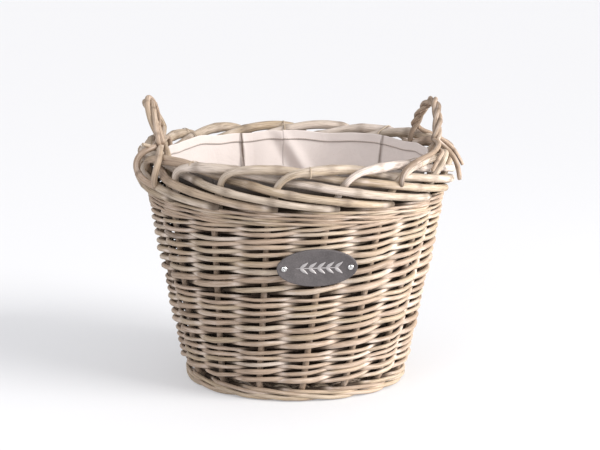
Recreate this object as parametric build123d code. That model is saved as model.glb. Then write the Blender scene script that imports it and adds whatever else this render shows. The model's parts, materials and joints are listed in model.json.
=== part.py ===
from build123d import *
import math
import os

os.makedirs("parts", exist_ok=True)

# A round, tapered log basket in willow, standing on the XY plane with its axis on Z.
# Its front, with the plaque, faces -Y. A handle stands over the rim at +X and at -X.
# Angles run from the front towards +X. Millimetres and degrees throughout.

# Wall
STAKES = 16
STEP = 360 / STAKES
BASE_RADIUS = 163.0  # outside of the weave at the floor
WEAVE_TOP = 283.0
TOP_RADIUS = 219.0  # outside of the weave at WEAVE_TOP
STAKE_R = 4.5
WEAVER_D = 5.1
HALF_WALL = STAKE_R + WEAVER_D  # a weaver passes on each side of a stake
SLOPE = (TOP_RADIUS - BASE_RADIUS) / WEAVE_TOP
STAKE_TOP = 289.0
LEAN = 0.0344  # the weaving drags the stakes round by this many degrees a millimetre of height
LEAN_ZERO_Z = 108.0
BAND_GAP = 0.2
CLEAR = 0.3
BANDS = [
    ("bottom_wale", 0.0, 24.0),
    ("lower_rand", 24.0, 76.0),
    ("middle_rand", 76.0, 157.0),
    ("upper_rand", 157.0, 262.0),
    ("top_wale", 262.0, WEAVE_TOP),
]

# Base
BASE_MID_Z = 14.0
BASE_HALF = 8.0  # half the thickness of the woven base
BASE_WEAVE_IN, BASE_WEAVE_OUT = 46.0, 143.0
STICK_R = 4.0
STICK_PITCH = 8.4
STICK_LIFT = 4.2
STICK_END = 139.0
STAKE_FOOT_IN = 101.0  # how far in from the edge each stake is pushed into the base
STAKE_BEND_R = 20.0
CROSS_HALF = 22.0  # half the length of the square where the two fours of sticks cross
STICK_BEND_R = 30.0

# Border
BORDER_R = 5.3
RAIL_Z = 336.0
BORDER_BEND_R = 60.0
BORDER_ROUTE = [  # steps round from the stake, radius, height
    (0.130, 205.6, 250.0),
    (0.130, 213.8, 300.0),
    (0.150, 216.0, 314.0),
    (0.240, 218.4, 328.0),
    (0.380, 219.4, RAIL_Z),
    (0.700, 219.0, RAIL_Z + 0.5),
    (1.130, 205.0, 333.0),
    (1.600, 207.6, 323.5),
    (2.130, 202.4, 316.5),
    (2.600, 214.5, 310.0),
    (3.130, 227.2, 303.6),
    (3.600, 226.6, 298.6),
    (4.130, 226.0, 292.2),
    (4.480, 225.6, 288.6),
]

# Handles
STRAND_R = 3.2
ROPE_R = 4.5  # from the rope's centreline to each strand's
ROPE_TURNS = 3
ROPE_POINTS = 37
HANDLE_FOOT_R, HANDLE_FOOT_Z = 206.0, 354.0
HANDLES = {  # angle of the middle, half the angle between the feet, top radius and height; bent by hand
    "left": (-95.5, 23.5, 212.0, 410.0),
    "right": (91.5, 22.5, 202.0, 402.0),
}
HANDLE_FULLNESS = 1.8  # exponent of the arch: 2 is an ellipse, 1 a triangle
STRAND_BEND_R = 40.0
LEG_R = 196.9
LEG_TOP_Z, LEG_BOTTOM_Z = 337.0, 236.0
STRAND_SPREAD = 2.4  # degrees between the rope's foot and a strand that ends outside
SPREAD_SHARE = 0.75  # share of that spread reached where the strand crosses the rail
TUCKED_END = [(219.0, 348.0), (230.5, 341.0), (234.0, 327.0), (229.5, 314.5), (220.5, 317.5)]
CUT_END = [(219.0, 348.0), (231.5, 339.0), (236.0, 322.0), (237.5, 304.0)]

# Liner
LINER_T = 1.6
LINER_FLOOR_Z = 22.6
LINER_BASE_GAP = 2.4  # from the inside of the weave
LINER_TOP_R, LINER_TOP_Z = 193.2, 326.0
HEM_H, HEM_T = 13.0, 1.2
LAYER_GAP = 0.1
TIES = 8
TIE_W, TIE_T = 3.0, 0.9
TIE_PHASE = 0.6  # how far from one stake to the next a tie sits, under the middle of a rail
TIE_IN_R, TIE_OUT_R = 187.5, 226.6
TIE_LOW_Z, TIE_HIGH_Z = 316.6, 343.2

# Plaque
PLAQUE_L, PLAQUE_H, PLAQUE_T = 112.0, 55.0, 2.5
PLAQUE_ANGLE, PLAQUE_Z = 2.0, 203.0
PLAQUE_EDGE = 0.6
SCREW_SPAN = 92.0
SCREW_R, SCREW_HEAD_R, SCREW_HEAD_H, SCREW_L = 1.6, 4.2, 2.0, 22.0
MOTIF_T = 0.8
STEM_L, STEM_W = 62.0, 1.8
LEAF_PAIRS = 5
LEAF_L, LEAF_W, LEAF_TILT = 14.0, 5.6, 38.0


LOW = (Align.CENTER, Align.CENTER, Align.MIN)


def polar(angle, radius, z):
    """The point at this angle from the front, this far from the axis."""
    a = math.radians(angle)
    return Vector(radius * math.sin(a), -radius * math.cos(a), z)


def wall_radius(z):
    """Middle of the woven wall."""
    return BASE_RADIUS - HALF_WALL + SLOPE * z


def stake_angle(k, z):
    return k * STEP + LEAN * (z - LEAN_ZERO_Z)


def rod(points, radius, bend):
    """A round rod along straight runs joined by arcs as large as the runs allow, up to bend."""
    points = [Vector(*p) for p in points]
    radii = []
    for a, b, c in zip(points, points[1:], points[2:]):
        turn = math.radians((b - a).get_angle(c - b))
        room = 0.45 * min((b - a).length, (c - b).length)
        radii.append(min(bend, room / math.tan(turn / 2)))
    path = FilletPolyline(*points, radius=radii)
    return sweep(Plane(origin=path @ 0, z_dir=path % 0) * Circle(radius), path=path)


def straight(a, b, radius):
    return extrude(Plane(origin=a, z_dir=b - a) * Circle(radius), (b - a).length)


def ring(points):
    """A solid of revolution about Z from (radius, z) corners."""
    return revolve(Plane.XZ * make_face(Polyline(*points, close=True)), Axis.Z)


def save(name, *solids):
    shape = solids[0] if len(solids) == 1 else Compound(children=list(solids))
    shape.label = name
    export_step(shape, f"parts/{name}.step")


# ---- willow frame: side stakes and base sticks

def stake_route(k):
    """From inside the base, out to the edge, and up the wall to its cut end under the border."""
    angle = stake_angle(k, BASE_MID_Z)
    return [
        polar(angle, STAKE_FOOT_IN, BASE_MID_Z),
        polar(angle, wall_radius(BASE_MID_Z), BASE_MID_Z),
        polar(stake_angle(k, STAKE_TOP), wall_radius(STAKE_TOP), STAKE_TOP),
    ]


def base_stick(row, turned, radius=STICK_R):
    """One of four side by side, raised or lowered where the two fours cross, and fanned outside."""
    y = (row - 1.5) * STICK_PITCH
    fan = (row - 1.5) * STEP
    lift = STICK_LIFT if turned else -STICK_LIFT
    half = [(0.0, y, lift), (CROSS_HALF, y, lift)]
    for reach in (BASE_WEAVE_IN + 2, STICK_END):
        half.append((reach * math.cos(math.radians(fan)), reach * math.sin(math.radians(fan)), 0.0))
    points = [(-x, v, w) for x, v, w in reversed(half[1:])] + half[1:]
    stick = rod([(x, v, w + BASE_MID_Z) for x, v, w in points], radius, STICK_BEND_R)
    # the fan is half a step off the multiples of a step, so each foot goes in between two sticks
    return Rot(0, 0, stake_angle(0, BASE_MID_Z) + (90 if turned else 0)) * stick


# ---- border: one rod for each stake, each laid down over those before it

def border_points(k):
    start = stake_angle(k, RAIL_Z)
    return [polar(start + u * STEP, r, z) for u, r, z in BORDER_ROUTE]


# ---- handles: three strands laid up as a rope, their ends let into the rim

def rope_frame(half_angle, top_r, top_z, share):
    """Centre of a rope over +X and its two normals, share of the way from its rear foot to its front."""
    foot_x = HANDLE_FOOT_R * math.cos(math.radians(half_angle))
    foot_y = HANDLE_FOOT_R * math.sin(math.radians(half_angle))

    def at(t):
        c, s = math.cos(math.pi * t), math.sin(math.pi * t)
        power = 2 / HANDLE_FULLNESS
        rise = max(s, 0.0) ** power
        y = foot_y * math.copysign(abs(c) ** power, c)
        x = foot_x + (top_r - foot_x) * rise
        return Vector(x, y, HANDLE_FOOT_Z + (top_z - HANDLE_FOOT_Z) * rise)

    along = (at(min(share + 0.01, 1)) - at(max(share - 0.01, 0))).normalized()
    inward = Vector(-1, 0, 0)
    inward = (inward - along * inward.dot(along)).normalized()
    return at(share), inward, along.cross(inward)


def strand_points(half_angle, top_r, top_z, strand):
    """Strand 0 goes down inside into the weave, 1 turns in under the rail and 2 ends cut outside it."""
    rope = []
    for i in range(ROPE_POINTS):
        share = i / (ROPE_POINTS - 1)
        centre, inward, across = rope_frame(half_angle, top_r, top_z, share)
        phase = 2 * math.pi * (ROPE_TURNS * share + strand / 3)
        rope.append(centre + inward * (ROPE_R * math.cos(phase)) + across * (ROPE_R * math.sin(phase)))
    if strand == 0:
        end = [(half_angle, LEG_R, LEG_TOP_Z), (half_angle, LEG_R, LEG_BOTTOM_Z)]
    else:
        spread = -STRAND_SPREAD if strand == 1 else STRAND_SPREAD
        over, *rest = TUCKED_END if strand == 1 else CUT_END
        end = [(half_angle + SPREAD_SHARE * spread, *over)]
        end += [(half_angle + spread, *point) for point in rest]
    rear = [polar(90 + angle, r, z) for angle, r, z in reversed(end)]
    front = [polar(90 - angle, r, z) for angle, r, z in end]
    return rear + rope + front


# ---- liner ties: flat loops through the hem and round the rail

def tie_boxes(margin=0.0):
    """A loop's outer and inner block, seen along -Y before it is turned to its place."""
    width = TIE_W + 2 * margin
    low, high = TIE_LOW_Z - margin, TIE_HIGH_Z + margin
    inner_r, outer_r = TIE_IN_R - margin, TIE_OUT_R + margin
    outer = Pos((inner_r + outer_r) / 2, 0, (low + high) / 2) * Box(outer_r - inner_r, width, high - low)
    thick = TIE_T + 2 * margin
    inner = Pos((inner_r + outer_r) / 2, 0, (low + high) / 2) * Box(
        outer_r - inner_r - 2 * thick, width + 1, high - low - 2 * thick
    )
    return outer - inner


def tie(i, margin=0.0):
    angle = stake_angle(2 * i + 1, RAIL_Z) + TIE_PHASE * STEP
    return Rot(0, 0, angle - 90) * tie_boxes(margin)


# ---- plaque: a flat oval on the front, leaning back with the wall

def plaque_plane():
    """On the back of the plate, Z out of the wall, X level."""
    out = polar(PLAQUE_ANGLE, 1.0, -SLOPE).normalized()
    level = polar(PLAQUE_ANGLE + 90, 1.0, 0.0)
    rise = wall_radius(PLAQUE_Z) + HALF_WALL + CLEAR
    return Plane(origin=polar(PLAQUE_ANGLE, rise, PLAQUE_Z), x_dir=level, z_dir=out)


def screw(x, radius, head_radius, gap=0.0):
    """A domed screw at x, its head on the front of the plate, its shank down through the wall."""
    face = PLAQUE_T
    shank = Pos(x, 0, face - SCREW_L - gap) * Cylinder(radius, SCREW_L + gap, align=LOW)
    head = Pos(x, 0, face) * Cylinder(head_radius, SCREW_HEAD_H, align=LOW)
    return shank + head


# ---- build and save

holes = []
for k in range(STAKES):
    stake = rod(stake_route(k), STAKE_R, STAKE_BEND_R)
    save(f"stake_{k + 1:02}", stake)
    holes.append(rod(stake_route(k), STAKE_R + CLEAR, STAKE_BEND_R))

border_rod = rod(border_points(0), BORDER_R, BORDER_BEND_R)
shank = [Vector(*p) for p in border_points(0)[:2]]
low_end = shank[0] - (shank[1] - shank[0]).normalized() * CLEAR
for k in range(STAKES):
    save(f"border_rod_{k + 1:02}", Rot(0, 0, k * STEP) * border_rod)
    holes.append(Rot(0, 0, k * STEP) * straight(low_end, shank[1], BORDER_R + CLEAR))

for hand, (middle, half_angle, top_r, top_z) in HANDLES.items():
    turned = Rot(0, 0, middle - 90)
    for strand in range(3):
        points = strand_points(half_angle, top_r, top_z, strand)
        save(f"handle_{hand}_strand_{strand + 1}", turned * rod(points, STRAND_R, STRAND_BEND_R))
    for angle in (90 - half_angle, 90 + half_angle):
        foot, top = polar(angle, LEG_R, LEG_BOTTOM_Z - CLEAR), polar(angle, LEG_R, LEG_TOP_Z)
        holes.append(turned * straight(foot, top, STRAND_R + CLEAR))

place = plaque_plane()
screws = [place * screw(x, SCREW_R, SCREW_HEAD_R) for x in (-SCREW_SPAN / 2, SCREW_SPAN / 2)]
screw_holes = [
    place * screw(x, SCREW_R + CLEAR, SCREW_HEAD_R, CLEAR) for x in (-SCREW_SPAN / 2, SCREW_SPAN / 2)
]
holes += screw_holes
save("plaque_screws", *screws)

plate = extrude(Ellipse(PLAQUE_L / 2, PLAQUE_H / 2), PLAQUE_T)
plate = chamfer(plate.edges().group_by(Axis.Z)[-1], PLAQUE_EDGE)
for x in (-SCREW_SPAN / 2, SCREW_SPAN / 2):
    plate -= Pos(x, 0, 0) * Cylinder(SCREW_R + CLEAR, 3 * PLAQUE_T)
save("plaque_plate", place * plate)

sprig = Rectangle(STEM_L, STEM_W)
for i in range(LEAF_PAIRS):
    x = STEM_L * ((i + 0.5) / LEAF_PAIRS - 0.5)
    for way in (1, -1):
        sprig += Pos(x, 0) * Rot(0, 0, way * LEAF_TILT) * Pos(LEAF_L / 2, 0) * Ellipse(LEAF_L / 2, LEAF_W / 2)
save("plaque_sprig", place * Pos(0, 0, PLAQUE_T) * extrude(sprig, MOTIF_T))

for name, low, high in BANDS:
    low, high = low + BAND_GAP / 2, high - BAND_GAP / 2
    if name == "bottom_wale":
        low = 0.0
    band = ring([
        (wall_radius(low) - HALF_WALL, low),
        (wall_radius(low) + HALF_WALL, low),
        (wall_radius(high) + HALF_WALL, high),
        (wall_radius(high) - HALF_WALL, high),
    ])
    box = band.bounding_box()
    for hole in holes:
        reach = hole.bounding_box()
        if reach.max.Z > box.min.Z and reach.min.Z < box.max.Z:
            band -= hole
    save(name, band)

for name, turned in (("base_lower_sticks", False), ("base_upper_sticks", True)):
    save(name, *[base_stick(row, turned) for row in range(4)])
base_weave = ring([
    (BASE_WEAVE_IN, BASE_MID_Z - BASE_HALF),
    (BASE_WEAVE_OUT, BASE_MID_Z - BASE_HALF),
    (BASE_WEAVE_OUT, BASE_MID_Z + BASE_HALF),
    (BASE_WEAVE_IN, BASE_MID_Z + BASE_HALF),
])
for turned in (False, True):
    for row in range(4):
        base_weave -= base_stick(row, turned, STICK_R + CLEAR)
for hole in holes[:STAKES]:
    base_weave -= hole
save("base_weave", base_weave)


def liner_outer(z):
    """Outside of the liner's wall."""
    foot = wall_radius(LINER_FLOOR_Z) - HALF_WALL - LINER_BASE_GAP
    share = (z - LINER_FLOOR_Z) / (LINER_TOP_Z - LINER_FLOOR_Z)
    return foot + (LINER_TOP_R - foot) * share


def liner_band(low, high, outset, inset):
    """A band of the liner's cone, from outset to inset inside its outer face."""
    return ring([
        (liner_outer(low) - outset, low),
        (liner_outer(high) - outset, high),
        (liner_outer(high) - inset, high),
        (liner_outer(low) - inset, low),
    ])


liner_wall = liner_band(LINER_FLOOR_Z, LINER_TOP_Z, 0.0, LINER_T)
hem_out = LINER_T + LAYER_GAP
liner_hem = liner_band(LINER_TOP_Z - HEM_H, LINER_TOP_Z, hem_out, hem_out + HEM_T)
for i in range(TIES):
    liner_wall -= tie(i, CLEAR)
    liner_hem -= tie(i, CLEAR)
save("liner_wall", liner_wall)
save("liner_hem", liner_hem)
save("liner_ties", *[tie(i) for i in range(TIES)])
floor_radius = liner_outer(LINER_FLOOR_Z) - LINER_T - LAYER_GAP
save("liner_base", Pos(0, 0, LINER_FLOOR_Z) * Cylinder(floor_radius, LINER_T, align=LOW))
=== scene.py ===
import json
import math
import random

import bmesh
import bpy
import numpy as np
from mathutils import Euler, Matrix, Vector, noise

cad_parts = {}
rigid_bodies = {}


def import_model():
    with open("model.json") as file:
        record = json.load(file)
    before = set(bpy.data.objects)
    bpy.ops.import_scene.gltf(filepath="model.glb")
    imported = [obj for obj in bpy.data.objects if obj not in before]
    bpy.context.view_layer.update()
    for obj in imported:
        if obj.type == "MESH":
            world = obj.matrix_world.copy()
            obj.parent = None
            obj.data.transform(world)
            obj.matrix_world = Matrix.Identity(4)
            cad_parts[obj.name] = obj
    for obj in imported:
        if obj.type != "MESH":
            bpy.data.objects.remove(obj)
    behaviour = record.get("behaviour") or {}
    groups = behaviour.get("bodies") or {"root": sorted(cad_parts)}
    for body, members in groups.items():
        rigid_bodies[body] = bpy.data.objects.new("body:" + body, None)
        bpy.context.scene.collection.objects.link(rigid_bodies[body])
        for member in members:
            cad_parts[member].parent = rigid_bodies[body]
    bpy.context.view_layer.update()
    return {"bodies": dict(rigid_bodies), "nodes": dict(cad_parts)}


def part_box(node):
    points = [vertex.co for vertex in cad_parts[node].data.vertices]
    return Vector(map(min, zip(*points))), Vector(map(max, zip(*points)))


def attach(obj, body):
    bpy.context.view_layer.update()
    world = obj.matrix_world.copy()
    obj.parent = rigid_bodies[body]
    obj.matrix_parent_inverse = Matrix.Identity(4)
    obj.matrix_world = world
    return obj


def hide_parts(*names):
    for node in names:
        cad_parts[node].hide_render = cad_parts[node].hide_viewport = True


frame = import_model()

scene = bpy.context.scene
cm, mm = 0.01, 0.001
body = next(iter(frame["bodies"]))  # nothing on the basket moves, so there is one body


# ---- camera, light and floor

view = dict(
    turn=-6.2,  # degrees round the basket from its front
    distance=2.875,
    height=0.7896,
    pitch=0.19475,  # radians down
    lens=120.12,
    slide=0.0068,  # share of the picture's width
)

lights = [
    # name, watts, size, place, colour
    ("sideLight", 24.0, 0.5, (1.55, -0.42, 0.27), (1.0, 0.985, 0.96)),
    ("fillLight", 33.0, 2.0, (-1.9, -2.5, 1.7), (0.98, 0.985, 1.0)),
]


sun = dict(strength=3.3, angle=30, place=(1.48, -1.04, 0.95), colour=(1.0, 0.985, 0.965))


def aim(thing, target):
    thing.rotation_euler = (Vector(target) - thing.location).to_track_quat("-Z", "Y").to_euler()


def makeCamera():
    camera = bpy.data.objects.new("camera", bpy.data.cameras.new("camera"))
    turn = math.radians(view["turn"])
    camera.location = (view["distance"] * math.sin(turn), -view["distance"] * math.cos(turn), view["height"])
    camera.rotation_euler = (math.pi / 2 - view["pitch"], 0, turn)
    camera.data.lens = view["lens"]
    camera.data.sensor_width = 36
    camera.data.shift_x = view["slide"]
    camera.data.clip_end = 60
    scene.collection.objects.link(camera)
    scene.camera = camera


def makeLights():
    for name, power, size, place, colour in lights:
        lamp = bpy.data.lights.new(name, "AREA")
        lamp.energy = power
        lamp.shape = "DISK"
        lamp.size = size
        lamp.color = colour
        holder = bpy.data.objects.new(name, lamp)
        holder.location = place
        aim(holder, (0, 0, 0.2))
        scene.collection.objects.link(holder)
    key = bpy.data.objects.new("keyLight", bpy.data.lights.new("keyLight", "SUN"))
    key.data.energy = sun["strength"]
    key.data.angle = math.radians(sun["angle"])  # as soft as a large window
    key.data.color = sun["colour"]
    key.location = sun["place"]
    aim(key, (0, 0, 0))
    scene.collection.objects.link(key)
    world = bpy.data.worlds.new("studio")
    world.use_nodes = True
    world.node_tree.nodes["Background"].inputs["Color"].default_value = (0.95, 0.955, 0.975, 1)
    world.node_tree.nodes["Background"].inputs["Strength"].default_value = 0.80
    scene.world = world
    scene.view_settings.view_transform = "Standard"


def makeFloor():
    shape = bmesh.new()
    bmesh.ops.create_grid(shape, x_segments=1, y_segments=1, size=15)
    floor = finished("floor", shape)
    paint = newMaterial("paleFloor")
    paint.setup(colour=(0.50, 0.50, 0.507), rough=0.7)
    paint.shader.inputs["Specular IOR Level"].default_value = 0.1
    paint.shader.inputs["Emission Color"].default_value = (0.97, 0.97, 1.0, 1)
    paint.shader.inputs["Emission Strength"].default_value = 0.31
    floor.data.materials.append(paint.material)


# ---- node helpers

class newMaterial:
    def __init__(self, name):
        self.material = bpy.data.materials.new(name)
        self.material.use_nodes = True
        self.nodes = self.material.node_tree.nodes
        self.links = self.material.node_tree.links
        self.shader = self.nodes["Principled BSDF"]

    def setup(self, colour=None, rough=None, metal=None):
        if colour is not None:
            self.shader.inputs["Base Color"].default_value = (*colour, 1)
        if rough is not None:
            self.shader.inputs["Roughness"].default_value = rough
        if metal is not None:
            self.shader.inputs["Metallic"].default_value = metal

    def node(self, kind, **settings):
        made = self.nodes.new("ShaderNode" + kind)
        for key, value in settings.items():
            setattr(made, key, value)
        return made

    def join(self, output, socket):
        self.links.new(output, socket)
        return socket

    def attribute(self, name):
        return self.node("Attribute", attribute_name=name)

    def stretched(self, vector, scale):
        mapping = self.node("Mapping")
        mapping.inputs["Scale"].default_value = scale
        self.join(vector, mapping.inputs["Vector"])
        return mapping.outputs["Vector"]

    def noise(self, vector, scale=1.0, detail=2.0, rough=0.5, warp=0.0):
        made = self.node("TexNoise")
        for key, value in (("Scale", scale), ("Detail", detail), ("Roughness", rough), ("Distortion", warp)):
            made.inputs[key].default_value = value
        self.join(vector, made.inputs["Vector"])
        return made.outputs["Fac"]

    def ramp(self, value, stops, smooth=False):
        made = self.node("ValToRGB")
        colours = made.color_ramp
        colours.interpolation = "EASE" if smooth else "LINEAR"
        while len(colours.elements) < len(stops):
            colours.elements.new(0.5)
        for element, (place, colour) in zip(colours.elements, stops):
            element.position = place
            element.color = (*colour, 1) if isinstance(colour, tuple) else (colour, colour, colour, 1)
        self.join(value, made.inputs["Fac"])
        return made.outputs["Color"]

    def mix(self, share, first, second, blend="MIX"):
        made = self.node("Mix", data_type="RGBA", blend_type=blend)
        for value, socket in ((share, made.inputs[0]), (first, made.inputs[6]), (second, made.inputs[7])):
            if isinstance(value, bpy.types.NodeSocket):
                self.join(value, socket)
            elif isinstance(value, tuple):
                socket.default_value = (*value, 1)
            else:
                socket.default_value = value
        return made.outputs[2]

    def maths(self, operation, *values, clamp=False):
        made = self.node("Math", operation=operation, use_clamp=clamp)
        for value, socket in zip(values, made.inputs):
            if isinstance(value, bpy.types.NodeSocket):
                self.join(value, socket)
            else:
                socket.default_value = value
        return made.outputs[0]

    def bump(self, height, strength, distance, under=None):
        made = self.node("Bump")
        made.inputs["Strength"].default_value = strength
        made.inputs["Distance"].default_value = distance
        self.join(height, made.inputs["Height"])
        if under is not None:
            self.join(under, made.inputs["Normal"])
        return made.outputs["Normal"]


# ---- willow

willow = dict(
    # gap is the colour of the painted shade between and behind the rods
    gap=(0.026, 0.013, 0.007),
    darkBark=(0.110, 0.074, 0.050),
    tan=(0.330, 0.240, 0.172),
    ochre=(0.390, 0.300, 0.205),
    pink=(0.410, 0.305, 0.228),
    greyWash=(0.460, 0.380, 0.304),
    paleWash=(0.640, 0.550, 0.490),
)


def willowMaterial(name, tonePlaces=None, shade=0.92):
    # reads the attributes that addRod writes, or Object coordinates on a CAD rod that has none
    paint = newMaterial(name)
    if tonePlaces is None:
        space = paint.attribute("rodSpace").outputs["Vector"]
        tone = paint.attribute("rodTone").outputs["Fac"]
        knot = paint.attribute("rodKnot").outputs["Fac"]
        depth = paint.attribute("rodDepth").outputs["Fac"]
        patchSpace, grainSpace = paint.stretched(space, (160, 160, 22)), paint.stretched(space, (900, 900, 34))
        slowSpace, fineSpace = paint.stretched(space, (40, 40, 6)), paint.stretched(space, (2600, 2600, 160))
    else:
        space = paint.node("TexCoord").outputs["Object"]
        grainWay, tone, knot, depth = tonePlaces, 0.30, 0.0, shade
        along, across = (34, 900), (22, 160)
        grain = [along[0] if way else along[1] for way in grainWay]
        patch = [across[0] if way else across[1] for way in grainWay]
        patchSpace, grainSpace = paint.stretched(space, patch), paint.stretched(space, grain)
        slowSpace, fineSpace = paint.stretched(space, (30, 30, 12)), paint.stretched(space, (1800, 1800, 400))
    streaks = paint.noise(grainSpace, 1.0, 3.0, 0.6, 0.4)
    patches = paint.noise(patchSpace, 1.0, 4.0, 0.62, 0.2)
    slow = paint.noise(slowSpace, 1.0, 2.0, 0.5)
    toned = paint.maths("ADD", paint.maths("MULTIPLY", paint.maths("SUBTRACT", slow, 0.5), 0.9), tone)
    bark = paint.ramp(toned, [
        (0.02, willow["darkBark"]),
        (0.22, willow["tan"]),
        (0.42, willow["pink"]),
        (0.60, willow["ochre"]),
        (0.78, willow["greyWash"]),
        (1.00, willow["paleWash"]),
    ])
    grained = paint.mix(paint.ramp(streaks, [(0.34, 0.62), (0.54, 0.0)]), bark, willow["darkBark"])
    washed = paint.mix(paint.ramp(patches, [(0.52, 0.0), (0.74, 0.55)]), grained, willow["paleWash"])
    if tonePlaces is None:
        # paler where a rod crosses its neighbours, a painted highlight; painted shade where it lies behind a stake
        crossing = paint.ramp(depth, [(0.24, 0.0), (0.42, 0.9), (0.56, 0.6), (0.68, 0.0)])
        crossingHighlight = paint.maths("MULTIPLY", crossing, paint.ramp(patches, [(0.42, 0.05), (0.60, 0.75)]))
        highlighted = paint.mix(crossingHighlight, washed, willow["paleWash"])
        shadeBehindStakes = paint.ramp(depth, [(0.52, 0.0), (0.80, 0.88), (1.0, 0.94)])
        shaded = paint.mix(shadeBehindStakes, highlighted, willow["gap"])
        knotted = paint.mix(paint.maths("MULTIPLY", knot, 0.6), shaded, willow["darkBark"])
    else:
        knotted = paint.mix(depth, washed, willow["darkBark"])
    paint.join(knotted, paint.shader.inputs["Base Color"])
    gloss = paint.ramp(patches, [(0.3, 0.50), (0.7, 0.74)])
    if tonePlaces is None:
        gloss = paint.mix(shadeBehindStakes, gloss, (0.96, 0.96, 0.96))
    paint.join(gloss, paint.shader.inputs["Roughness"])
    paint.shader.inputs["Specular IOR Level"].default_value = 0.4
    fine = paint.noise(fineSpace, 1.0, 2.0, 0.5)
    ridges = paint.bump(streaks, 0.5, 0.5 * mm)
    paint.join(paint.bump(fine, 0.35, 0.15 * mm, ridges), paint.shader.inputs["Normal"])
    return paint.material


def paintNode(name, material):
    # a CAD piece shown as it is
    mesh = frame["nodes"][name].data
    mesh.materials.clear()
    mesh.materials.append(material)


# ---- making pieces

def finished(name, shape, material=None, smooth=True):
    mesh = bpy.data.meshes.new(name)
    shape.to_mesh(mesh)
    shape.free()
    for face in mesh.polygons:
        face.use_smooth = smooth
    piece = bpy.data.objects.new(name, mesh)
    scene.collection.objects.link(piece)
    if material:
        mesh.materials.append(material)
    return piece


def onBasket(piece, slotName, *nodes):
    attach(piece, body)
    if nodes:
        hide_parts(*nodes)


def around(angle, radius, z):
    turn = math.radians(angle)
    return Vector((radius * math.sin(turn), -radius * math.cos(turn), z))


def smoothLine(points, steps=8):
    # a NURBS line through the run of these points, read back as closely spaced ones
    curve = bpy.data.curves.new("route", "CURVE")
    curve.dimensions = "3D"
    line = curve.splines.new("NURBS")
    line.points.add(len(points) - 1)
    for knot, place in zip(line.points, points):
        knot.co = (*place, 1.0)
    line.order_u = 3
    line.use_endpoint_u = True
    line.resolution_u = steps
    holder = bpy.data.objects.new("route", curve)
    mesh = bpy.data.meshes.new_from_object(holder)
    places = [vertex.co.copy() for vertex in mesh.vertices]
    bpy.data.objects.remove(holder)
    bpy.data.curves.remove(curve)
    bpy.data.meshes.remove(mesh)
    return places


def addRod(shape, points, radii, tone, depths=None, knots=None, rodSides=10):
    # one round rod, added to a bmesh, with its own straightened-out space for the grain
    curve = bpy.data.curves.new("rod", "CURVE")
    curve.dimensions = "3D"
    curve.bevel_depth = 1.0
    curve.bevel_resolution = rodSides // 2 - 2
    curve.twist_mode = "MINIMUM"
    line = curve.splines.new("POLY")
    line.points.add(len(points) - 1)
    for knot, place, radius in zip(line.points, points, radii):
        knot.co = (*place, 1.0)
        knot.radius = radius
    holder = bpy.data.objects.new("rod", curve)
    mesh = bpy.data.meshes.new_from_object(holder)
    rings = len(mesh.vertices) // rodSides
    spots = np.zeros(len(mesh.vertices) * 3)
    mesh.vertices.foreach_get("co", spots)
    spots = spots.reshape(rings, rodSides, 3)
    centres = spots.mean(axis=1)
    along = np.concatenate([[0], np.cumsum(np.linalg.norm(np.diff(centres, axis=0), axis=1))])
    size = np.linalg.norm(spots - centres[:, None], axis=2)
    turn = np.arange(rodSides) * 2 * math.pi / rodSides
    start = random.uniform(0, 40)
    rodSpace = np.stack([size * np.cos(turn), size * np.sin(turn), np.repeat(along[:, None], rodSides, 1) + start], 2)
    mesh.attributes.new("rodSpace", "FLOAT_VECTOR", "POINT").data.foreach_set("vector", rodSpace.ravel())
    for name, values in (("rodTone", tone), ("rodDepth", depths), ("rodKnot", knots)):
        values = np.zeros(rings) if values is None else np.broadcast_to(values, rings)
        spread = np.repeat(np.asarray(values, float), rodSides)
        mesh.attributes.new(name, "FLOAT", "POINT").data.foreach_set("value", spread)
    shape.from_mesh(mesh)
    bpy.data.objects.remove(holder)
    bpy.data.curves.remove(curve)
    bpy.data.meshes.remove(mesh)


def closeEnds(shape):
    open_ = [edge for edge in shape.edges if edge.is_boundary]
    bmesh.ops.holes_fill(shape, edges=open_, sides=0)
    bmesh.ops.recalc_face_normals(shape, faces=shape.faces)


def rodTone():
    return 0.10 + 0.72 * random.betavariate(2.6, 2.8)


def wobble(place, seed, size):
    return size * noise.noise(Vector((place, seed * 7.31, seed * 1.7)))


def naturalRod(shape, points, buttRadius, tipRadius, tone, knotGap=0.07, knotSize=0.16, depths=None, slim=None):
    # a rod along these points, with knots here and there; slim is how thin it starts and how soon it fills out
    lengths = [0.0]
    for first, second in zip(points, points[1:]):
        lengths.append(lengths[-1] + (second - first).length)
    whole = lengths[-1]
    places, reach = [], random.uniform(0.3, 1.0) * knotGap
    while reach < whole:
        places.append((reach, random.uniform(0.5, 1.0)))
        reach += knotGap * random.uniform(0.6, 1.5)
    seed = random.uniform(0, 100)
    radii, knots = [], []
    for length in lengths:
        radius = buttRadius + (tipRadius - buttRadius) * length / whole
        if slim:
            grown = min(1.0, max(0.0, (length - slim[1]) / slim[2]))
            radius *= slim[0] + (1 - slim[0]) * grown * grown * (3 - 2 * grown)
        swell = 0.0
        for place, strength in places:
            swell += strength * math.exp(-((length - place) / (0.9 * buttRadius)) ** 2)
        edge = min(length, whole - length) / (0.6 * tipRadius)
        rounding = 0.86 + 0.14 * min(1.0, edge)
        radii.append(radius * (1 + knotSize * swell + wobble(length / 0.05, seed, 0.06)) * rounding)
        knots.append(min(1.0, swell))
    addRod(shape, points, radii, tone, depths, knots)


# ---- the wall

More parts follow.
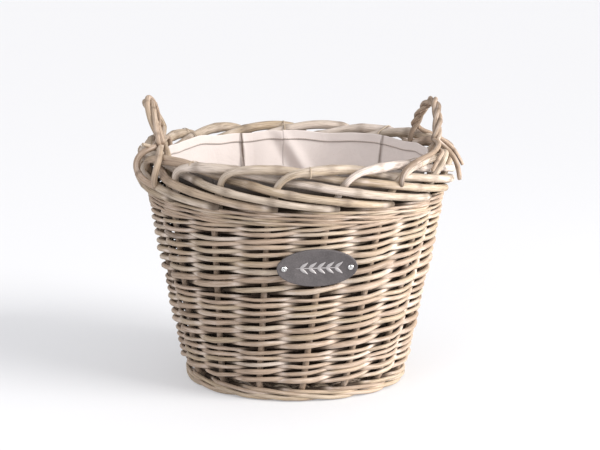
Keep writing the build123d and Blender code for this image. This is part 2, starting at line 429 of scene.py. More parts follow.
topBox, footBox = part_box("top_wale"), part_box("bottom_wale")
wall = dict(
    stakes=16,
    stakeRadius=4.5 * mm,
    outToMiddle=9.6 * mm,  # from the outside of the weave to the middle of the stakes
    lean=0.0344 / mm,  # degrees round for each metre of height
    leanZero=108 * mm,
    pointsPerStake=8,
)
wall["slope"] = (topBox[1][0] - footBox[1][0]) / (topBox[1][2] - footBox[1][2])
wall["footRadius"] = footBox[1][0] - wall["slope"] * footBox[1][2] - wall["outToMiddle"]
stakeStep = 360 / wall["stakes"]


def stakeAngle(k, z):
    return k * stakeStep + wall["lean"] * (z - wall["leanZero"])


def wallRadius(z):
    return wall["footRadius"] + wall["slope"] * z


rands = {
    # band: rows of the weave, how much thicker the butts are than the tips
    "lower_rand": dict(rows=10, taper=1.45),
    "middle_rand": dict(rows=14, taper=1.5),
    "upper_rand": dict(rows=18, taper=1.75),
}


def makeRand(band, material):
    # each rod starts behind a stake of its own and goes in front of one, behind the next, rising a row a stake
    rows, taper = rands[band]["rows"], rands[band]["taper"]
    low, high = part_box(band)[0][2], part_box(band)[1][2]
    thick = (high - low) / rows * 2 * taper / (1 + taper)  # the lowest row's height
    thin = thick / taper
    shape = bmesh.new()
    for j in range(wall["stakes"]):
        seed = random.uniform(0, 100)
        swell = random.uniform(0.84, 1.12)
        points, radii, depths = [], [], []
        steps = rows * wall["pointsPerStake"]
        for i in range(-2, steps + 2):
            s = i / wall["pointsPerStake"]
            share = s / rows
            height = thick + (thin - thick) * share
            z = low + thick * 0.5 + (s * thick + (thin - thick) * s * share / 2) * (1 - 0.5 / rows)
            front = -math.cos(math.pi * s)
            out = front * (wall["stakeRadius"] + height * 0.47) + wobble(s * 1.3, seed, 1.0 * mm)
            z += wobble(s * 0.8, seed + 50, 3.2 * mm) + wobble(s * 2.9, seed + 70, 1.2 * mm)
            points.append(around(stakeAngle(j + s, z), wallRadius(z) + out, z))
            fullness = 1.06 + 0.17 * max(front, 0.0)  # fuller where it lies in front of a stake
            radii.append(height * 0.5 * fullness * swell * (1 + wobble(s * 2.1, seed + 20, 0.16)))
            depths.append(0.5 - 0.5 * front)
        addRod(shape, points, radii, rodTone(), depths)
    closeEnds(shape)
    piece = finished("woven_" + band, shape, material)
    onBasket(piece, "willow_weave", band)
    print("wove", band)


wales = {
    # band: middle height and thickness of each round of three rods
    "bottom_wale": [(5.6 * mm, 6.6 * mm), (13.6 * mm, 5.8 * mm)],
    "top_wale": [(265.0 * mm, 4.1 * mm), (271.6 * mm, 3.9 * mm), (278.4 * mm, 4.3 * mm)],
}


def makeWale(band, material):
    # three rods, each in front of two stakes and behind one, laid over each other like a rope
    shape = bmesh.new()
    for turn, (centre, thick) in enumerate(wales[band]):
        for first, last in ((0, 15), (15, 30), (30, 48)):
            seed = random.uniform(0, 100)
            points, radii, depths = [], [], []
            for i in range(first * wall["pointsPerStake"], last * wall["pointsPerStake"] + 1):
                s = i / wall["pointsPerStake"]
                swing = min((1 - math.cos(2 * math.pi * s / 3)) / 1.5, 1.0)
                front = 2 * swing * swing * (3 - 2 * swing) - 1
                out = front * (wall["stakeRadius"] + thick * 0.40) + wobble(s * 1.3, seed, 0.6 * mm)
                out -= 3.4 * mm if band == "bottom_wale" else 0  # the foot is drawn in a little
                z = centre + 0.50 * thick * math.sin(2 * math.pi * s / 3) + wobble(s, seed + 9, 1.4 * mm)
                z = max(z, 0.5 * thick + 1.0 * mm + wobble(s * 2, seed, 1.0 * mm))
                points.append(around(stakeAngle(5 * turn + s, z), wallRadius(z) + out, z))
                radii.append(thick * 0.5 * (1 + wobble(s * 1.9, seed + 5, 0.12)))
                depths.append(0.5 - 0.5 * front)
            addRod(shape, points, radii, rodTone(), depths)
    closeEnds(shape)
    piece = finished("woven_" + band, shape, material)
    onBasket(piece, "willow_weave", band)
    print("wove", band)


# ---- the border

border = dict(
    butt=7.8 * mm,
    tip=4.8 * mm,
    slim=(0.66, 66 * mm, 60 * mm),
    route=[  # steps round from the stake, radius and height in mm
        (0.020, 205.0, 266.0),
        (0.030, 210.5, 290.0),
        (0.080, 215.6, 306.0),
        (0.140, 219.0, 316.0),
        (0.200, 223.0, 324.0),
        (0.290, 225.4, 331.0),
        (0.430, 224.6, 336.6),
        (0.680, 220.6, 339.2),
        (1.000, 216.0, 339.6),
        (1.300, 210.0, 337.6),
        (1.700, 206.0, 330.5),
        (2.130, 203.8, 322.0),
        (2.550, 211.0, 319.0),
        (3.000, 225.8, 313.0),
        (3.560, 228.6, 304.0),
        (4.130, 227.2, 296.0),
        (4.640, 225.0, 289.0),
        (5.080, 214.5, 284.6),
    ],
)


def borderShade(place):
    # painted shade where a rod lies inside the border or goes down into the weave
    radius = place.xy.length
    inside = min(1.0, max(0.0, (215 * mm - radius) / (6 * mm))) * min(1.0, max(0.0, (337 * mm - place.z) / (9 * mm)))
    low = min(1.0, max(0.0, (302 * mm - place.z) / (12 * mm))) * min(1.0, max(0.0, (221 * mm - radius) / (5 * mm)))
    return max(0.56 * inside, 0.74 * low)


def makeBorder(material):
    railZ = 336 * mm
    for k in range(wall["stakes"]):
        start = stakeAngle(k, railZ)
        sway, lift = random.uniform(0, 50), random.uniform(-0.8, 0.8) * mm
        points = []
        for u, r, z in border["route"]:
            loose = min(1.0, max(0.0, (z - 285) / 20))
            aside = wobble(u * 0.9, sway, 0.10) * loose
            out = r * mm + wobble(u * 0.8, sway + 9, 2.2 * mm) * loose
            points.append(around(start + (u + aside) * stakeStep, out, z * mm + lift + wobble(u * 0.8, sway + 20, 2.4 * mm)))
        shape = bmesh.new()
        size = random.uniform(0.93, 1.05)
        line = smoothLine(points, 10)
        shades = [borderShade(place) for place in line]
        naturalRod(shape, line, border["butt"] * size, border["tip"] * size, rodTone() + 0.27, depths=shades,
                   slim=border["slim"])
        closeEnds(shape)
        piece = finished(f"willow_border_rod_{k + 1:02}", shape, material)
        onBasket(piece, "willow_border", f"border_rod_{k + 1:02}")
    print("laid the border")


# ---- the handles

handles = dict(
    footRadius=206 * mm,
    footZ=354 * mm,
    steps=72,
    # strand: radii at the back and front foot; narrow: the rope's width at its back foot against its front
    left=dict(middle=-92.0, halfAngle=20.0, topRadius=213 * mm, topZ=407.5 * mm, fullness=1.55, turns=1.25,
              phase=0.9, strand=(3.0 * mm, 4.9 * mm), ropeRadius=5.2 * mm, narrow=0.55),
    right=dict(middle=91.5, halfAngle=22.5, topRadius=203 * mm, topZ=402 * mm, fullness=1.6, turns=2.2,
               phase=1.3, strand=(3.7 * mm, 3.7 * mm), ropeRadius=3.8 * mm, narrow=1.0),
    # ends of each strand at its two feet: angle, radius and height, from the rope outwards
    ends={
        "left": [
            # at the back, then at the front
            ([(-114.5, 201.0, 346), (-116.4, 197.5, 334), (-117.6, 196.9, 268)],
             [(-71.8, 200.0, 345), (-71.6, 196.9, 330), (-71.6, 196.9, 268)]),
            ([(-120, 213, 349), (-122, 226, 345), (-124, 236, 332), (-124, 235, 317), (-122, 226, 309)],
             [(-72.4, 214, 352), (-72.5, 228, 349), (-73.8, 238, 341), (-74.6, 242.5, 329), (-73.4, 242.5, 317),
              (-70.2, 239, 308), (-66.2, 232, 302), (-62.4, 224, 299)]),
            ([(-117, 214, 347), (-115, 228, 341), (-113, 237, 326), (-112, 238, 309)],
             [(-69.5, 213, 351), (-64.2, 224, 349), (-61.2, 232, 341), (-61.0, 236.5, 330), (-61.8, 237.5, 320),
              (-63.6, 235, 309), (-64.8, 230, 302)]),
        ],
        "right": [
            ([(113.8, 200.0, 345), (113.6, 196.9, 330), (113.6, 196.9, 268)],
             [(69.2, 200.0, 345), (69.4, 196.9, 330), (69.4, 196.9, 268)]),
            ([(112, 214, 348), (109, 228, 343), (107, 236, 330), (106, 238, 312)],
             [(69.0, 214, 351), (68.0, 227, 342), (67.6, 236, 330), (68.2, 240.5, 316), (69.6, 241, 301)]),
            ([(116, 213, 349), (119, 226, 345), (121, 236, 332), (121, 235, 317), (119, 226, 309)],
             [(66.0, 214, 354), (59.0, 219, 350), (51.5, 225, 347.5), (44.0, 229, 346), (37.6, 231.5, 341.5),
              (33.4, 233, 333), (32.2, 232.5, 322), (33.0, 228, 312)]),
        ],
    },
    # loose ends and ties of its own beside the strands: two runs of angle, radius and height for each side
    extras={
        "left": [
            [(-70.5, 208, 342), (-73.6, 214, 350), (-72.8, 226, 353.5), (-70.4, 238, 358)],
        ],
        "right": [
            [(70.0, 205, 362), (70.4, 214, 358), (70.6, 226, 349), (70.4, 237, 336), (71.2, 244, 321)],
            [(64.0, 214, 346), (60.1, 227, 347), (53.0, 233, 342), (49.4, 234.5, 333.5), (48.6, 231, 325)],
        ],
    },
)


def archPoint(plan, share):
    footX = handles["footRadius"] * math.cos(math.radians(plan["halfAngle"]))
    footY = handles["footRadius"] * math.sin(math.radians(plan["halfAngle"]))
    power = 2 / plan["fullness"]
    c, rise = math.cos(math.pi * share), max(math.sin(math.pi * share), 0.0) ** power
    return Vector((
        footX + (plan["topRadius"] - footX) * rise,
        footY * math.copysign(abs(c) ** power, c),
        handles["footZ"] + (plan["topZ"] - handles["footZ"]) * rise,
    ))


def ropeLine(plan, strand):
    # this strand's way along the arch, from its back foot to its front foot
    line = []
    for i in range(handles["steps"] + 1):
        share = i / handles["steps"]
        along = (archPoint(plan, min(share + 0.01, 1)) - archPoint(plan, max(share - 0.01, 0))).normalized()
        inward = Vector((-1, 0, 0))
        inward = (inward - along * inward.dot(along)).normalized()
        side = along.cross(inward)
        loose = 1 + 0.10 * math.sin(9 * share + 2 * strand)
        phase = plan["phase"] + 2 * math.pi * (plan["turns"] * share + strand / 3) + 0.25 * math.sin(7 * share)
        reach = plan["ropeRadius"] * loose * (plan["narrow"] + (1 - plan["narrow"]) * min(1.0, 2.2 * share))
        line.append(archPoint(plan, share) + inward * reach * math.cos(phase) + side * reach * math.sin(phase))
    turned = math.radians(plan["middle"] - 90)
    c, s = math.cos(turned), math.sin(turned)
    return [Vector((c * p.x - s * p.y, s * p.x + c * p.y, p.z)) for p in line]


def placed(run):
    return [around(angle, radius * mm, z * mm) for angle, radius, z in run]


def makeHandles(material):
    for hand in ("left", "right"):
        plan = handles[hand]
        for strand, (back, front) in enumerate(handles["ends"][hand]):
            rope = ropeLine(plan, strand)
            points = list(reversed(placed(back))) + rope[2:-2:2] + placed(front)
            shape = bmesh.new()
            first, last = (radius * random.uniform(0.92, 1.08) for radius in plan["strand"])
            naturalRod(shape, smoothLine(points, 6), first, last, rodTone() - 0.06, knotGap=0.05)
            if strand == 2:
                for run in handles["extras"][hand]:
                    naturalRod(shape, smoothLine(placed(run), 8), 3.3 * mm, 2.7 * mm, rodTone())
            closeEnds(shape)
            piece = finished(f"willow_handle_{hand}_{strand + 1}", shape, material)
            onBasket(piece, "willow_handles", f"handle_{hand}_strand_{strand + 1}")
    print("twisted the handles")


# ---- the base

base = dict(
    middleZ=14 * mm,
    weaveIn=47.0 * mm,
    weaveOut=142.0 * mm,
    feetIn=101.0 * mm,  # from here out the stakes' feet lie between the sticks
    weaver=4.2 * mm,
    stick=4.0 * mm,
    perCrossing=4,
)


def makeBase(material):
    # two rods chasing each other round the sticks, one over where the other is under
    shape = bmesh.new()
    stepOut = 2 * base["weaver"] * 1.02
    turns = (base["weaveOut"] - base["weaveIn"]) / stepOut
    start = stakeAngle(0, base["middleZ"])
    pieces = 6  # lengths of rod in each spiral
    crossings = 2 * wall["stakes"]
    total = int(turns * crossings * base["perCrossing"])
    lift = base["stick"] + base["weaver"] * 0.5
    for chaser in (0, 1):
        for part in range(pieces):
            points = []
            for i in range(total * part // pieces, total * (part + 1) // pieces + 1):
                turn = i / (crossings * base["perCrossing"])
                radius = base["weaveIn"] + turn * stepOut + (0.5 - chaser) * -base["weaver"]
                dense = radius > base["feetIn"]
                waves = wall["stakes"] * (1 if dense else 0.5)
                wave = math.cos(2 * math.pi * waves * turn + math.pi * chaser)
                points.append(around(start + 360 * turn, radius, base["middleZ"] + lift * 0.92 * wave))
            addRod(shape, points, [base["weaver"] / 2] * len(points), rodTone(), 0.3, rodSides=6)
    closeEnds(shape)
    piece = finished("woven_base", shape, material)
    onBasket(piece, "willow_base", "base_weave")
    print("wove the base")


# ---- the cotton liner

liner = dict(
    floorZ=22.6 * mm,
    topZ=334.0 * mm,
    footRadius=146.0 * mm,
    topRadius=192.6 * mm,
    hem=13 * mm,
    cloth=1.1 * mm,
    columns=640,
    rows=46,
    # each seam: angle, how deep it folds in, and which way it lies
    seams=((-160.0, 8.5, 1), (129.7, 4.5, -1), (70.0, 2.2, 1), (12.0, 2.0, -1), (-44.0, 2.4, 1), (-100.0, 2.2, -1)),
    # soft folds: angle at the top, angle at the bottom, depth and width in degrees
    folds=((181.0, 118.0, 10.0, 3.0), (187.5, 128.0, -6.0, 3.4), (-171.0, -160.0, 3.0, 4.0), (150.0, 190.0, 3.5, 4.0),
           (112.0, 104.0, 2.2, 5.5), (-128.0, -120.0, 2.4, 5.0), (-20.0, -26.0, 2.6, 5.0), (34.0, 40.0, 2.4, 6.0),
           (92.0, 88.0, 2.6, 4.0), (-70.0, -64.0, 2.2, 5.0)),
    colour=(0.672, 0.604, 0.574),
    shade=(0.600, 0.530, 0.498),
    seamShade=(0.105, 0.070, 0.048),
    back=(0.040, 0.026, 0.017),  # its outer side, against the willow, in painted shade
)


def turnBetween(first, second):
    return (first - second + 180) % 360 - 180


def linerTop(angle):
    # held up by its ties, it dips a little between them
    phase = (angle - tieAngle(0)) / 45
    return liner["topZ"] - 2.4 * mm * (0.5 - 0.5 * math.cos(2 * math.pi * phase)) + wobble(angle / 11, 4, 2.4 * mm)


def linerOut(angle, share):
    # distance of the cloth from the axis, share of the way up
    z = liner["floorZ"] + (liner["topZ"] - liner["floorZ"]) * share
    radius = liner["footRadius"] + (liner["topRadius"] - liner["footRadius"]) * share
    inward = 0.0
    for place, depth, way in liner["seams"]:
        gap = way * turnBetween(angle, place + 1.5 * (1 - share) * way + wobble(share * 9, place, 0.8))
        if -5.0 < gap < 0.5:
            inward += depth * mm * (math.exp((gap) / 1.6) if gap < 0 else 1 - gap / 0.5)
    for top, bottom, depth, width in liner["folds"]:
        middle = bottom + turnBetween(top, bottom) * share
        strength = 0.35 + 0.65 * math.sin(math.pi * min(1.0, 0.15 + 0.8 * share))
        inward += depth * mm * strength * math.exp(-((turnBetween(angle, middle)) / width) ** 2)
    bulge = math.exp(-((turnBetween(angle, 6.0)) / 5.0) ** 2 - ((z - 309 * mm) / (7 * mm)) ** 2)
    inward += wobble(angle / 14, 3, 1.2 * mm) - 5.0 * mm * bulge + noise.noise(Vector((angle / 9, z * 22, 3.3))) * 1.1 * mm
    return radius - 1.0 * mm - max(inward, -6.0 * mm) * min(1.0, 0.25 + 2.2 * share) * (1 - 0.55 * max(0.0, share - 0.93) / 0.07)


def linerSeamShade(angle, share):
    # painted shade: dark lines along the seams and under the hem
    dark = 0.0
    for place, depth, way in liner["seams"]:
        gap = way * turnBetween(angle, place + 1.5 * (1 - share) * way + wobble(share * 9, place, 0.8))
        dark = max(dark, min(1.0, 0.25 + depth / 8.5) * math.exp(-((gap - 0.2) / 0.42) ** 2))
    return dark


def clothMaterial(name, colour, shade, back=None):
    paint = newMaterial(name)
    uv = paint.node("UVMap").outputs["UV"]
    space = paint.node("TexCoord").outputs["Object"]
    warp = paint.node("TexWave", wave_type="BANDS", bands_direction="X")
    weft = paint.node("TexWave", wave_type="BANDS", bands_direction="Y")
    for wave in (warp, weft):
        wave.inputs["Scale"].default_value = 160.0  # threads a metre over 2 pi
        wave.inputs["Distortion"].default_value = 1.2
        wave.inputs["Detail"].default_value = 1.0
        wave.inputs["Detail Scale"].default_value = 3.0
        paint.join(uv, wave.inputs["Vector"])
    threads = paint.maths("MULTIPLY", warp.outputs["Fac"], weft.outputs["Fac"])
    slubs = paint.noise(paint.stretched(uv, (60, 900, 1)), 1.0, 2.0, 0.6)
    clouds = paint.noise(space, 9.0, 3.0, 0.55)
    creases = paint.noise(space, 26.0, 3.0, 0.5, 1.6)
    ground = paint.mix(paint.ramp(clouds, [(0.35, 0.0), (0.72, 0.7)]), colour, shade)
    slubbed = paint.mix(paint.ramp(slubs, [(0.56, 0.0), (0.74, 0.35)]), ground, shade)
    seamShade = paint.attribute("seamShade").outputs["Fac"]
    # painted shade along the seams and under the hem
    slubbed = paint.mix(seamShade, slubbed, liner["seamShade"])
    fleck = paint.noise(space, 420.0, 1.0, 0.5)
    flecked = paint.mix(paint.ramp(fleck, [(0.70, 0.0), (0.80, 0.35)]), slubbed, (0.45, 0.36, 0.27))
    if back:
        # painted shade on its outer side, dark up to just under the border
        height = paint.node("SeparateXYZ")
        paint.join(space, height.inputs[0])
        shadedBelow = paint.ramp(height.outputs["Z"], [(0.300, 1.0), (0.316, 0.70), (0.328, 0.35)])
        flecked = paint.mix(shadedBelow, flecked, back)
    paint.join(flecked, paint.shader.inputs["Base Color"])
    paint.shader.inputs["Roughness"].default_value = 0.92
    paint.shader.inputs["Specular IOR Level"].default_value = 0.15
    paint.shader.inputs["Sheen Weight"].default_value = 0.15
    folded = paint.bump(creases, 0.30, 2.5 * mm)
    paint.join(paint.bump(threads, 0.35, 0.25 * mm, folded), paint.shader.inputs["Normal"])
    return paint.material


def clothBand(name, low, high, rows, inset, material, hemmed=False, shadedBackMaterial=None):
    # a closed ring of cloth from share low to share high of the liner's height
    shape = bmesh.new()
    bmesh.ops.create_grid(shape, x_segments=liner["columns"], y_segments=rows, size=0.5)
    width = 2 * math.pi * liner["topRadius"]
    uv = shape.loops.layers.uv.new("UVMap")
    for face in shape.faces:
        for loop in face.loops:
            loop[uv].uv = ((loop.vert.co.x + 0.5) * width, (low + (high - low) * (loop.vert.co.y + 0.5)) * 0.31)
    seamShade = shape.verts.layers.float.new("seamShade")
    for vertex in shape.verts:
        angle = 360 * (vertex.co.x + 0.5) - 180
        share = low + (high - low) * (vertex.co.y + 0.5)
        # painted shade along the seams and the hem's lower edge
        vertex[seamShade] = max(linerSeamShade(angle, share), 0.7 if hemmed and vertex.co.y < -0.49 else 0.0)
        top = linerTop(angle)
        z = liner["floorZ"] + (top - liner["floorZ"]) * share
        vertex.co = around(angle, linerOut(angle, share) - inset, z)
    bmesh.ops.remove_doubles(shape, verts=shape.verts, dist=0.02 * mm)
    bmesh.ops.recalc_face_normals(shape, faces=shape.faces)
    piece = finished(name, shape, material)
    if shadedBackMaterial:
        piece.data.materials.append(shadedBackMaterial)
        piece.data.polygons.foreach_set("material_index", [1] * len(piece.data.polygons))
    thick = piece.modifiers.new("thickness", "SOLIDIFY")
    thick.thickness = liner["cloth"]
    thick.offset = 0
    thick.material_offset = -1 if shadedBackMaterial else 0
    return piece


def makeLiner(material, shadedBackMaterial, hemMaterial, threadMaterial):
    wallCloth = clothBand("liner_cloth", 0.0, 1.0, liner["rows"], 0.0, material, shadedBackMaterial=shadedBackMaterial)
    onBasket(wallCloth, "liner_cotton", "liner_wall")
    hemShare = liner["hem"] / (liner["topZ"] - liner["floorZ"])
    hem = clothBand("liner_hem_band", 1 - hemShare, 1.003, 8, 1.35 * mm, hemMaterial, hemmed=True)
    onBasket(hem, "liner_hem", "liner_hem")
    # the row of stitches along the hem
    stitches = bmesh.new()
    count = 330
    for i in range(count):
        angle = 360 * i / count - 180
        share = 1 - hemShare * 0.86
        z = liner["floorZ"] + (linerTop(angle) - liner["floorZ"]) * share
        made = bmesh.ops.create_icosphere(stitches, subdivisions=1, radius=1.0)["verts"]
        bmesh.ops.scale(stitches, verts=made, vec=(1.25 * mm, 0.35 * mm, 0.35 * mm))
        bmesh.ops.rotate(stitches, verts=made, cent=(0, 0, 0), matrix=Euler((0, 0, math.radians(angle))).to_matrix())
        spot = around(angle, linerOut(angle, share) - 1.35 * mm - 0.6 * mm, z)
        bmesh.ops.translate(stitches, verts=made, vec=spot)
    seam = finished("liner_hem_stitches", stitches, threadMaterial)
    onBasket(seam, "liner_hem")
    # the round floor of the liner
    disc = bmesh.new()
    bmesh.ops.create_circle(disc, cap_ends=True, cap_tris=True, segments=96, radius=liner["footRadius"] - 2.4 * mm)
    bmesh.ops.subdivide_edges(disc, edges=[e for e in disc.edges if not e.is_boundary], cuts=14, use_grid_fill=True)
    flat = disc.loops.layers.uv.new("UVMap")
    for face in disc.faces:
        for loop in face.loops:
            loop[flat].uv = (loop.vert.co.x, loop.vert.co.y)
    for vertex in disc.verts:
        reach = min(1.0, (liner["footRadius"] - vertex.co.xy.length) / (12 * mm))
        ripple = noise.noise(vertex.co * 16) * 2.0 + noise.noise(vertex.co * 45 + Vector((5, 5, 5))) * 0.7
        vertex.co.z = liner["floorZ"] + 1.2 * mm + max(0.0, 0.9 * mm + ripple * mm) * reach
    disc.normal_update()
    floorCloth = finished("liner_floor_cloth", disc, material)
    thick = floorCloth.modifiers.new("thickness", "SOLIDIFY")
    thick.thickness = liner["cloth"]
    thick.offset = -1
    onBasket(floorCloth, "liner_cotton", "liner_base")
    print("hung the liner")


ties = dict(
    count=8,
    width=2.0 * mm,
    thick=0.8 * mm,
    # round the rail and through the hem: radius and height in mm
    loop=((190.8, 326.0), (192.8, 334.0), (199.0, 339.4), (206.0, 340.6), (213.6, 344.0), (221.4, 345.4),
          (227.6, 342.0), (228.6, 334.4), (223.0, 329.4), (214.0, 328.4), (203.0, 326.0), (193.6, 324.6)),
)


def tieAngle(i):
    return stakeAngle(2 * i + 1, 336 * mm) + 0.6 * stakeStep


def makeTies(material):
    shape = bmesh.new()
    for i in range(ties["count"]):
        loop = [around(tieAngle(i), r * mm, z * mm) for r, z in ties["loop"]]
        line = smoothLine(loop + loop[:1], 5)[:-1]
        side = around(tieAngle(i) + 90, ties["width"] / 2, 0)
        rings = []
        middle = sum(line, Vector()) / len(line)
        for place, nextPlace, lastPlace in zip(line, line[1:] + line[:1], line[-1:] + line[:-1]):
            out = (nextPlace - lastPlace).cross(side).normalized() * ties["thick"] / 2
            lean = side * (1 + 0.12 * noise.noise(place * 60))
            rings.append([shape.verts.new(place + way * lean + face * out) for way, face in ((-1, -1), (1, -1), (1, 1), (-1, 1))])
        for ring, after in zip(rings, rings[1:] + rings[:1]):
            for c in range(4):
                shape.faces.new((ring[c], ring[(c + 1) % 4], after[(c + 1) % 4], after[c]))
    bmesh.ops.recalc_face_normals(shape, faces=shape.faces)
    piece = finished("liner_tapes", shape, material)
    onBasket(piece, "liner_ties", "liner_ties")
    print("tied the liner to the rim")


# ---- the plaque

plaque = dict(
    angle=2.0,
    z=203 * mm,
    long=112 * mm,
    high=55 * mm,
    thick=2.5 * mm,
    stand=0.3 * mm,  # clear of the weave
    screwSpan=92 * mm,
    screwHead=4.2 * mm,
    stemLong=60 * mm,
    leafPairs=5,
    leafLong=14 * mm,
    leafWide=5.4 * mm,
    leafTilt=38,
    colour=(0.080, 0.071, 0.072),
    raised=(0.400, 0.380, 0.378),
)


def onPlaque(shape, verts):
    # from flat on the XY plane, Z outwards, to its place on the leaning wall
    out = around(plaque["angle"], 1.0, 0) - Vector((0, 0, wall["slope"]))
    out.normalize()
    level = around(plaque["angle"] + 90, 1.0, 0)
    up = out.cross(level)
    rise = wallRadius(plaque["z"]) + wall["outToMiddle"] + plaque["stand"]
    origin = around(plaque["angle"], rise, plaque["z"])
    for vertex in verts:
        x, y, z = vertex.co
        vertex.co = origin + level * x + up * y + out * z


def plaqueMaterials():
    plate = newMaterial("slateGreyPlate")
    space = plate.node("TexCoord").outputs["Object"]
    clouds = plate.noise(space, 60.0, 4.0, 0.65)
    grains = plate.noise(space, 900.0, 2.0, 0.5)
    dark = tuple(0.82 * c for c in plaque["colour"])
    light = tuple(1.30 * c for c in plaque["colour"])
    tinted = plate.mix(plate.ramp(clouds, [(0.3, 0.0), (0.7, 1.0)]), dark, light)
    plate.join(plate.mix(plate.ramp(grains, [(0.45, 0.0), (0.7, 0.3)]), tinted, (0.22, 0.20, 0.20)), plate.shader.inputs["Base Color"])
    plate.shader.inputs["Metallic"].default_value = 0.35
    plate.join(plate.ramp(clouds, [(0.3, 0.5), (0.7, 0.64)]), plate.shader.inputs["Roughness"])
    plate.join(plate.bump(grains, 0.25, 0.2 * mm), plate.shader.inputs["Normal"])
    raised = newMaterial("paleRaisedMetal")
    space = raised.node("TexCoord").outputs["Object"]
    worn = raised.noise(space, 260.0, 3.0, 0.6)
    raised.join(raised.mix(raised.ramp(worn, [(0.35, 0.0), (0.75, 0.8)]), plaque["raised"], (0.30, 0.28, 0.28)), raised.shader.inputs["Base Color"])
    raised.shader.inputs["Metallic"].default_value = 0.4
    raised.shader.inputs["Roughness"].default_value = 0.42
    steel = newMaterial("brightSteel")
    space = steel.node("TexCoord").outputs["Object"]
    scratches = steel.noise(steel.stretched(space, (300, 300, 2400)), 1.0, 2.0, 0.5)
    steel.join(steel.ramp(scratches, [(0.3, (0.55, 0.55, 0.55)), (0.7, (0.68, 0.68, 0.67))]), steel.shader.inputs["Base Color"])
    steel.shader.inputs["Metallic"].default_value = 1.0
    steel.join(steel.ramp(scratches, [(0.3, 0.16), (0.7, 0.30)]), steel.shader.inputs["Roughness"])
    return plate.material, raised.material, steel.material


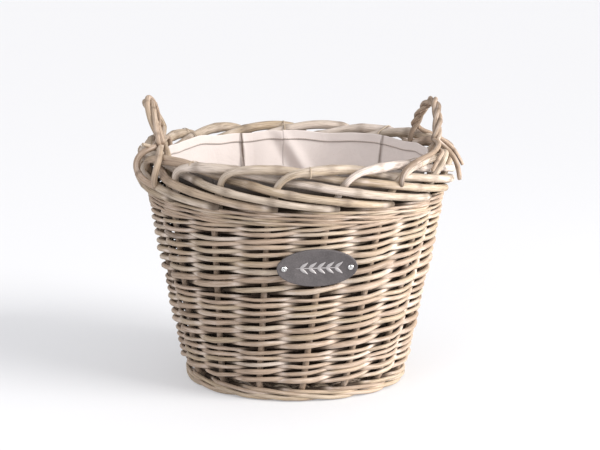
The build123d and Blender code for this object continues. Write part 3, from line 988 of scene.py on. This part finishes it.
def makePlaque():
    plateMaterial, raisedMaterial, steelMaterial = plaqueMaterials()
    plate = bmesh.new()
    rim = bmesh.ops.create_circle(plate, cap_ends=True, segments=128, radius=0.5)["verts"]
    bmesh.ops.scale(plate, verts=rim, vec=(plaque["long"], plaque["high"], 1))
    lifted = bmesh.ops.extrude_face_region(plate, geom=plate.faces[:])["geom"]
    top = [v for v in lifted if isinstance(v, bmesh.types.BMVert)]
    bmesh.ops.translate(plate, verts=top, vec=(0, 0, plaque["thick"]))
    bmesh.ops.recalc_face_normals(plate, faces=plate.faces)
    edges = [e for e in plate.edges if all(v.co.z > plaque["thick"] * 0.5 for v in e.verts)]
    bmesh.ops.bevel(plate, geom=edges, offset=0.9 * mm, segments=4, profile=0.5, affect="EDGES", material=-1)
    # the face is dished very slightly inside its rim
    face = max(plate.faces, key=lambda f: f.calc_area() if f.normal.z > 0.5 else 0)
    bmesh.ops.inset_region(plate, faces=[face], thickness=2.2 * mm, depth=0)
    bmesh.ops.inset_region(plate, faces=[face], thickness=0.8 * mm, depth=-0.25 * mm)
    onPlaque(plate, plate.verts)
    onBasket(finished("oval_plate", plate, plateMaterial, smooth=False), "plaque_slate_grey", "plaque_plate")
    bpy.data.objects["oval_plate"].data.shade_smooth()
    bpy.data.objects["oval_plate"].data.set_sharp_from_angle(angle=math.radians(35))

    sprig = bmesh.new()
    surface = plaque["thick"] - 0.25 * mm
    for i in range(plaque["leafPairs"]):
        x = plaque["stemLong"] * ((i + 0.5) / plaque["leafPairs"] - 0.5)
        for way in (1, -1):
            leaf = bmesh.ops.create_uvsphere(sprig, u_segments=20, v_segments=10, radius=0.5)["verts"]
            bmesh.ops.scale(sprig, verts=leaf, vec=(plaque["leafLong"], plaque["leafWide"], 1.8 * mm))
            for vertex in leaf:  # pointed at its tip
                share = vertex.co.x / plaque["leafLong"] + 0.5
                vertex.co.y *= (1.25 - 0.9 * share) if share > 0.4 else 0.89
            bmesh.ops.translate(sprig, verts=leaf, vec=(plaque["leafLong"] / 2, 0, 0))
            turn = Euler((0, 0, math.radians(way * plaque["leafTilt"]))).to_matrix()
            bmesh.ops.rotate(sprig, verts=leaf, cent=(0, 0, 0), matrix=turn)
            bmesh.ops.translate(sprig, verts=leaf, vec=(x, 0, surface))
    stem = bmesh.ops.create_uvsphere(sprig, u_segments=16, v_segments=12, radius=0.5)["verts"]
    bmesh.ops.scale(sprig, verts=stem, vec=(plaque["stemLong"] * 1.04, 1.7 * mm, 1.9 * mm))
    bmesh.ops.translate(sprig, verts=stem, vec=(0, 0, surface))
    onPlaque(sprig, sprig.verts)
    onBasket(finished("sprig_ornament", sprig, raisedMaterial), "plaque_motif", "plaque_sprig")

    screws = bmesh.new()
    for x in (-plaque["screwSpan"] / 2, plaque["screwSpan"] / 2):
        head = bmesh.ops.create_uvsphere(screws, u_segments=28, v_segments=14, radius=plaque["screwHead"])["verts"]
        below = [v for v in head if v.co.z < -0.1 * mm]
        bmesh.ops.delete(screws, geom=below, context="VERTS")
        head = [v for v in head if v.is_valid]
        bmesh.ops.scale(screws, verts=head, vec=(1, 1, 0.5))
        bmesh.ops.translate(screws, verts=head, vec=(x, 0, plaque["thick"]))
        shank = bmesh.ops.create_cone(
            screws, cap_ends=True, segments=16, radius1=1.0 * mm, radius2=1.6 * mm, depth=20 * mm)["verts"]
        bmesh.ops.translate(screws, verts=shank, vec=(x, 0, plaque["thick"] - 10 * mm))
    loose = [e for e in screws.edges if e.is_boundary]
    bmesh.ops.holes_fill(screws, edges=loose, sides=0)
    bmesh.ops.recalc_face_normals(screws, faces=screws.faces)
    onPlaque(screws, screws.verts)
    heads = finished("domed_screws", screws, steelMaterial)
    # the cross cut into each head
    cutter = bmesh.new()
    for x in (-plaque["screwSpan"] / 2, plaque["screwSpan"] / 2):
        for turn in (22, 112):
            bar = bmesh.ops.create_cube(cutter, size=1.0)["verts"]
            bmesh.ops.scale(cutter, verts=bar, vec=(4.8 * mm, 1.5 * mm, 3.0 * mm))
            bmesh.ops.rotate(cutter, verts=bar, cent=(0, 0, 0), matrix=Euler((0, 0, math.radians(turn))).to_matrix())
            bmesh.ops.translate(cutter, verts=bar, vec=(x, 0, plaque["thick"] + 2.2 * mm))
    onPlaque(cutter, cutter.verts)
    crossCut = finished("cross_cut", cutter)
    trim = heads.modifiers.new("cross", "BOOLEAN")
    trim.operation = "DIFFERENCE"
    trim.object = crossCut
    trim.use_self = True
    bpy.context.view_layer.update()
    cut = bpy.data.meshes.new_from_object(heads.evaluated_get(bpy.context.evaluated_depsgraph_get()))
    heads.modifiers.clear()
    heads.data = cut
    bpy.data.objects.remove(crossCut)
    onBasket(heads, "screw_steel", "plaque_screws")
    print("screwed on the plaque")


makeCamera()
makeLights()
makeFloor()

random.seed(7)
weaveWillow = willowMaterial("weaveWillow")
borderWillow = willowMaterial("borderWillow")
stakeWillow = willowMaterial("stakeWillow", tonePlaces=(False, False, True), shade=0.35)
stickWillow = willowMaterial("stickWillow", tonePlaces=(True, False, False), shade=0.25)
crossWillow = willowMaterial("crossWillow", tonePlaces=(False, True, False), shade=0.25)
liningCotton = clothMaterial("liningCotton", liner["colour"], liner["shade"])
liningShadedBack = clothMaterial("liningShadedBack", liner["colour"], liner["shade"], liner["back"])
hemCotton = clothMaterial("hemCotton", liner["colour"], liner["shade"])
tieCotton = clothMaterial("tieCotton", (0.40, 0.32, 0.24), (0.34, 0.26, 0.19))

for k in range(wall["stakes"]):
    paintNode(f"stake_{k + 1:02}", stakeWillow)
paintNode("base_lower_sticks", stickWillow)
paintNode("base_upper_sticks", crossWillow)
for band in rands:
    makeRand(band, weaveWillow)
for band in wales:
    makeWale(band, weaveWillow)
makeBase(weaveWillow)
makeBorder(borderWillow)
makeHandles(borderWillow)
makeTies(tieCotton)
makeLiner(liningCotton, liningShadedBack, hemCotton, tieCotton)
makePlaque()
